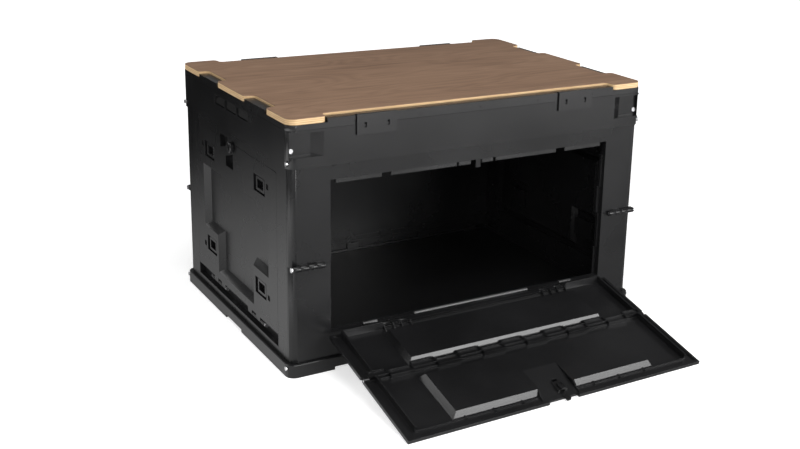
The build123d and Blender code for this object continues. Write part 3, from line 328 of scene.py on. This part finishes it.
def plastic(name, colour, roughness, gloss, grain_scale, grain_depth):
    """Moulded plastic with a fine grain and a little unevenness in its colour and sheen."""
    material, shader, add, link = new_material(name)
    place = add("ShaderNodeTexCoord")
    patch = add("ShaderNodeTexNoise", Scale=PATCH_SCALE, Detail=PATCH_DETAIL, Roughness=NOISE_ROUGHNESS)
    link(place.outputs["Object"], patch.inputs["Vector"])
    dark = tuple((1 - TINT_SPREAD) * value for value in colour)
    light = tuple((1 + TINT_SPREAD) * value for value in colour)
    tint = ramp(add, list(zip(TINT_RANGE, (dark, light))))
    link(patch.outputs["Fac"], tint.inputs["Fac"])
    link(tint.outputs["Color"], shader.inputs["Base Color"])
    sheen = ramp(add, list(zip(SHEEN_RANGE, (roughness - SHEEN_SPREAD, roughness + SHEEN_SPREAD))))
    link(patch.outputs["Fac"], sheen.inputs["Fac"])
    link(sheen.outputs["Color"], shader.inputs["Roughness"])
    grain = add("ShaderNodeTexNoise", Scale=grain_scale, Detail=GRAIN_DETAIL)
    link(place.outputs["Object"], grain.inputs["Vector"])
    emboss(add, link, grain.outputs["Fac"], shader, GRAIN_STRENGTH, grain_depth)
    shader.inputs["Specular IOR Level"].default_value = gloss
    return material


def steel():
    """Bright drawn steel for the pins."""
    material, shader, add, link = new_material("pin_steel")
    place = add("ShaderNodeTexCoord")
    streak = add("ShaderNodeTexNoise", Scale=STEEL_SCALE, Detail=STEEL_DETAIL)
    link(place.outputs["Object"], streak.inputs["Vector"])
    tint = ramp(add, STEEL_STOPS)
    link(streak.outputs["Fac"], tint.inputs["Fac"])
    link(tint.outputs["Color"], shader.inputs["Base Color"])
    shader.inputs["Metallic"].default_value = 1.0
    shader.inputs["Roughness"].default_value = STEEL_ROUGHNESS
    return material


def finish_wood(add, link, shader, figure, fibre, stops, roughness, gloss):
    """Colours a wood by its figure and raises its fibres."""
    tint = ramp(add, stops)
    link(figure, tint.inputs["Fac"])
    link(tint.outputs["Color"], shader.inputs["Base Color"])
    emboss(add, link, fibre, shader, FIBRE_STRENGTH, FIBRE_DEPTH)
    shader.inputs["Roughness"].default_value = roughness
    shader.inputs["Specular IOR Level"].default_value = gloss


def walnut():
    """Walnut veneer: long fibres, darker streaks and faint arched rings, grain along X."""
    material, shader, add, link = new_material("walnut_top")
    place = add("ShaderNodeTexCoord")
    hill = stretched_noise(add, link, place, *WALNUT_RINGS)
    count = add("ShaderNodeMath", operation="MULTIPLY")
    count.inputs[1].default_value = RING_COUNT
    link(hill, count.inputs[0])
    ring = add("ShaderNodeMath", operation="PINGPONG")
    ring.inputs[1].default_value = 1.0
    link(count.outputs[0], ring.inputs[0])
    fibre = stretched_noise(add, link, place, *WALNUT_FIBRES)
    streak = stretched_noise(add, link, place, *WALNUT_STREAKS)
    cloud = stretched_noise(add, link, place, *WALNUT_CLOUDS)
    figure = weigh(add, link, fibre, streak, STREAK_WEIGHT)
    figure = weigh(add, link, figure, ring.outputs[0], RING_WEIGHT)
    figure = weigh(add, link, figure, cloud, CLOUD_WEIGHT)
    finish_wood(add, link, shader, figure, fibre, WALNUT_STOPS, WALNUT_ROUGHNESS, WALNUT_GLOSS)
    return material


def plywood():
    """Pale plywood: thin plies one above another, with short fibres."""
    material, shader, add, link = new_material("plywood_edge")
    place = add("ShaderNodeTexCoord")
    split = add("ShaderNodeSeparateXYZ")
    link(place.outputs["Object"], split.inputs[0])
    turn = add("ShaderNodeMath", operation="MULTIPLY")
    turn.inputs[1].default_value = math.pi / (PLY_THICKNESS * MM)
    link(split.outputs["Z"], turn.inputs[0])
    wave = add("ShaderNodeMath", operation="SINE")
    link(turn.outputs[0], wave.inputs[0])
    ply = add("ShaderNodeMapRange")
    ply.inputs["From Min"].default_value = -1.0
    link(wave.outputs[0], ply.inputs["Value"])
    fibre = stretched_noise(add, link, place, *PLY_FIBRES)
    figure = weigh(add, link, fibre, ply.outputs["Result"], PLY_WEIGHT)
    finish_wood(add, link, shader, figure, fibre, PLYWOOD_STOPS, PLYWOOD_ROUGHNESS, PLYWOOD_GLOSS)
    return material


def make_materials():
    """Every material of the box by its role."""
    materials = {role: plastic(*look) for role, look in PLASTICS.items()}
    materials["steel"] = steel()
    materials["top"] = walnut()
    materials["edge"] = plywood()
    return materials


def role_of(name):
    """The material role of a CAD node."""
    if name.endswith(("_pins", "_pin")):
        return "steel"
    return ROLE_OF_NODE.get(name, "wall")


def soften_edges(node, width):
    """Joins the vertices of a mesh, makes its flat faces whole and rounds its sharp edges."""
    weld = node.modifiers.new("weld", "WELD")
    weld.merge_threshold = WELD_REACH * MM
    flat = node.modifiers.new("flat_faces", "DECIMATE")
    flat.decimate_type = "DISSOLVE"
    flat.angle_limit = math.radians(FLAT_ANGLE)
    bevel = node.modifiers.new("edges", "BEVEL")
    bevel.width = width * MM
    bevel.segments = EDGE_SEGMENTS
    bevel.limit_method = "ANGLE"
    bevel.angle_limit = math.radians(SHARP_ANGLE)
    bevel.use_clamp_overlap = True
    bevel.harden_normals = True


def dress_nodes(materials):
    """Gives every CAD node its material, and all but the pins softened edges."""
    for name, node in nodes.items():
        role = role_of(name)
        node.data.materials.clear()
        node.data.materials.append(materials[role])
        if role != "steel":
            soften_edges(node, EDGE_WIDTH.get(name, DEFAULT_EDGE_WIDTH))


def new_piece(name, form, material):
    """A new piece out of a form, with its material."""
    bmesh.ops.recalc_face_normals(form, faces=form.faces)
    mesh = bpy.data.meshes.new(name)
    form.to_mesh(mesh)
    form.free()
    mesh.materials.append(material)
    piece = bpy.data.objects.new(name, mesh)
    bpy.context.scene.collection.objects.link(piece)
    return piece


def add_bar(form, x_span, outline):
    """Adds a bar along X with an outline of (y, z) points, in mm."""
    ends = []
    for x in x_span:
        ends.append([form.verts.new((x * MM, y * MM, z * MM)) for y, z in outline])
    form.faces.new(list(reversed(ends[0])))
    form.faces.new(ends[1])
    for low, (first, second) in enumerate(zip(*ends)):
        high = (low + 1) % len(outline)
        form.faces.new((first, ends[0][high], ends[1][high], second))


def add_bars(name, bars, material):
    """One trim of the box out of bars, each an (x span, outline) pair."""
    form = bmesh.new()
    for x_span, outline in bars:
        add_bar(form, x_span, outline)
    piece = new_piece(name, form, material)
    soften_edges(piece, TRIM_EDGE_WIDTH)
    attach(piece, "box")


def bead_outline():
    """The outline of a half-round bead that stands on the sill."""
    foot = SILL_HEIGHT - BEAD_SINK
    outline = [(BEAD_MIDDLE + BEAD_RADIUS, foot)]
    for step in range(BEAD_STEPS + 1):
        angle = math.pi * step / BEAD_STEPS
        outline.append((
            BEAD_MIDDLE + BEAD_RADIUS * math.cos(angle),
            SILL_HEIGHT + BEAD_RADIUS * math.sin(angle),
        ))
    outline.append((BEAD_MIDDLE - BEAD_RADIUS, foot))
    return outline


def strip_outline():
    """The outline of the face of a header strip."""
    nose = STRIP_BACK - STRIP_NOSE_PROUD
    return [
        (STRIP_BACK, STRIP_TOP),
        (STRIP_BACK - STRIP_TOP_PROUD, STRIP_TOP),
        (nose, STRIP_FOOT + STRIP_NOSE_HEIGHT),
        (STRIP_BACK - STRIP_CHIN_PROUD, STRIP_FOOT + STRIP_CHIN_HEIGHT),
        (STRIP_BACK, STRIP_FOOT),
    ]


def foot_outline(proud, top, foot):
    """The outline of a bar on the rear wall's inner face, with its upper edge chamfered."""
    return [
        (REAR_FACE + FOOT_SINK, top),
        (REAR_FACE - proud + FOOT_CHAMFER, top),
        (REAR_FACE - proud, top - FOOT_CHAMFER),
        (REAR_FACE - proud, foot),
        (REAR_FACE + FOOT_SINK, foot),
    ]


def add_trims(materials):
    """Fine trims of the opening: sill beads, header strip faces, foot tabs and a lip on the rear wall."""
    add_bars("sill_beads", [(span, bead_outline()) for span in BEAD_SPANS], materials["bead"])
    add_bars("header_strip_faces", [(span, strip_outline()) for span in STRIP_SPANS], materials["body"])
    tab = foot_outline(TAB_PROUD, TAB_TOP, TAB_FOOT)
    lip = foot_outline(LIP_PROUD, LIP_TOP, LIP_FOOT)
    foot_bars = [((middle - TAB_HALF_WIDTH, middle + TAB_HALF_WIDTH), tab) for middle in TAB_MIDDLES]
    foot_bars.append(((-LIP_HALF_LENGTH, LIP_HALF_LENGTH), lip))
    add_bars("rear_foot_tabs", foot_bars, materials["body"])


def add_dome(form, x, side):
    """Adds a low dome on the front or rear face of the lid's rails."""
    rings = []
    for share in DOT_RINGS:
        height = DOT_HEIGHT * (1 - share * share)
        radius = DOT_RADIUS * share
        ring = []
        for step in range(DOT_SIDES):
            angle = 2 * math.pi * step / DOT_SIDES
            ring.append(form.verts.new((
                (x + radius * math.cos(angle)) * MM,
                side * (LID_FACE + height) * MM,
                (DOT_LEVEL + radius * math.sin(angle)) * MM,
            )))
        rings.append(ring)
    for outer, inner in zip(rings, rings[1:]):
        for low in range(DOT_SIDES):
            high = (low + 1) % DOT_SIDES
            form.faces.new((outer[low], outer[high], inner[high], inner[low]))
    form.faces.new(rings[-1])
    form.faces.new(list(reversed(rings[0])))


def add_rail_dots(materials):
    """Small domed dots on the front and rear faces of the lid's rails."""
    form = bmesh.new()
    for side in (-1, 1):
        for x in DOT_PLACES:
            add_dome(form, x, side)
    dots = new_piece("rail_dots", form, materials["lid"])
    for face in dots.data.polygons:
        face.use_smooth = True
    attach(dots, "lid")


def grey_by_distance(add, link, place, middle, reach, stops):
    """A grey that runs through the stops with the distance from a place on the floor."""
    away = add("ShaderNodeVectorMath", operation="DISTANCE")
    away.inputs[1].default_value = (*middle, 0)
    link(place.outputs["Object"], away.inputs[0])
    share = add("ShaderNodeMath", operation="DIVIDE")
    share.inputs[1].default_value = reach
    link(away.outputs["Value"], share.inputs[0])
    shade = ramp(add, stops)
    link(share.outputs[0], shade.inputs["Fac"])
    return shade.outputs["Color"]


def add_glow(add, link, shader, glow):
    """A shader with a glow on top of it."""
    both = add("ShaderNodeAddShader")
    link(shader.outputs[0], both.inputs[0])
    link(glow.outputs[0], both.inputs[1])
    return both


def choose(add, link, when, otherwise, then):
    """One shader for rays of a kind and another for the rest."""
    mix = add("ShaderNodeMixShader")
    link(when, mix.inputs[0])
    link(otherwise.outputs[0], mix.inputs[1])
    link(then.outputs[0], mix.inputs[2])
    return mix


def floor_white():
    """Pale floor that is white to the camera where it is lit; where the box mirrors it, a painted reflection:
    a sheet painted darker outwards and a painted glowing pool of light.
    """
    material, shader, add, link = new_material("floor_white")
    shader.inputs["Roughness"].default_value = FLOOR_ROUGHNESS
    shader.inputs["Specular IOR Level"].default_value = 0.0
    place = add("ShaderNodeTexCoord")
    path = add("ShaderNodeLightPath")
    mirrored = add("ShaderNodeMath", operation="MAXIMUM")
    link(path.outputs["Is Glossy Ray"], mirrored.inputs[0])
    link(path.outputs["Is Transmission Ray"], mirrored.inputs[1])

    # painted reflection: for mirrored rays the floor's colour darkens with distance from a place at the
    # front, which is painted shade
    painted_fade_stops = [(share, PAINTED_REFLECTION_GREY * grey) for share, grey in PAINTED_FADE_STOPS]
    painted_reflection = grey_by_distance(add, link, place, PAINTED_FADE_MIDDLE, PAINTED_FADE_REACH, painted_fade_stops)
    colour = add("ShaderNodeMix", data_type="RGBA")
    colour.inputs[COLOUR_FIRST].default_value = (FLOOR_GREY, FLOOR_GREY, FLOOR_GREY, 1)
    link(mirrored.outputs[0], colour.inputs[MIX_SHARE])
    link(painted_reflection, colour.inputs[COLOUR_SECOND])
    link(colour.outputs[COLOUR_RESULT], shader.inputs["Base Color"])

    # painted light: a glowing pool on the floor at the front left, seen only in reflections, which the black
    # plastic mirrors like a lamp
    painted_pool = add("ShaderNodeEmission", Strength=PAINTED_POOL_GLOW)
    link(grey_by_distance(add, link, place, PAINTED_POOL_MIDDLE, PAINTED_POOL_REACH, PAINTED_POOL_STOPS), painted_pool.inputs["Color"])
    from_box = add("ShaderNodeVectorMath", operation="LENGTH")
    link(place.outputs["Object"], from_box.inputs[0])
    rise = add("ShaderNodeMapRange")
    rise.inputs["From Min"].default_value = GLOW_FROM
    rise.inputs["From Max"].default_value = GLOW_TO
    rise.inputs["To Min"].default_value = FLOOR_GLOW
    link(from_box.outputs["Value"], rise.inputs["Value"])
    glow = add("ShaderNodeEmission")
    link(rise.outputs["Result"], glow.inputs["Strength"])

    seen = choose(add, link, path.outputs["Is Camera Ray"], shader, add_glow(add, link, shader, glow))
    surface = choose(add, link, mirrored.outputs[0], seen, add_glow(add, link, shader, painted_pool))
    link(surface.outputs[0], material.node_tree.nodes["Material Output"].inputs["Surface"])
    return material


def add_floor():
    """A wide pale floor just under the box."""
    mesh = bpy.data.meshes.new("floor")
    side = FLOOR_REACH
    corners = [(-side, -side, 0), (side, -side, 0), (side, side, 0), (-side, side, 0)]
    mesh.from_pydata(corners, [], [(0, 1, 2, 3)])
    mesh.materials.append(floor_white())
    floor = bpy.data.objects.new("floor", mesh)
    floor.location.z = -FLOOR_DROP * MM
    bpy.context.scene.collection.objects.link(floor)


def add_surround():
    """A studio surround: white at the horizon and dim above it, for every kind of ray."""
    world = bpy.data.worlds.new("surround")
    bpy.context.scene.world = world
    world.use_nodes = True
    world.node_tree.nodes.clear()
    add, link = node_helpers(world.node_tree)
    place = add("ShaderNodeTexCoord")
    split = add("ShaderNodeSeparateXYZ")
    link(place.outputs["Generated"], split.inputs[0])
    shade = ramp(add, SKY_STOPS)
    link(split.outputs["Z"], shade.inputs["Fac"])
    glow = add("ShaderNodeBackground")
    link(shade.outputs["Color"], glow.inputs["Color"])
    output = add("ShaderNodeOutputWorld")
    link(glow.outputs[0], output.inputs["Surface"])


def add_lamp(name, place, size, power):
    """A soft lamp aimed at the box."""
    data = bpy.data.lights.new(name, "AREA")
    data.shape = "RECTANGLE"
    data.size, data.size_y = size
    data.energy = power
    lamp = bpy.data.objects.new(name, data)
    bpy.context.scene.collection.objects.link(lamp)
    lamp.location = place
    lamp.rotation_euler = (Vector(AIM) - Vector(place)).to_track_quat("-Z", "Y").to_euler()


add_camera()
finishes = make_materials()
dress_nodes(finishes)
add_trims(finishes)
add_rail_dots(finishes)
add_floor()
add_surround()
for lamp_name, lamp_values in LAMPS.items():
    add_lamp(lamp_name, *lamp_values)
bpy.context.scene.view_settings.view_transform = "Standard"
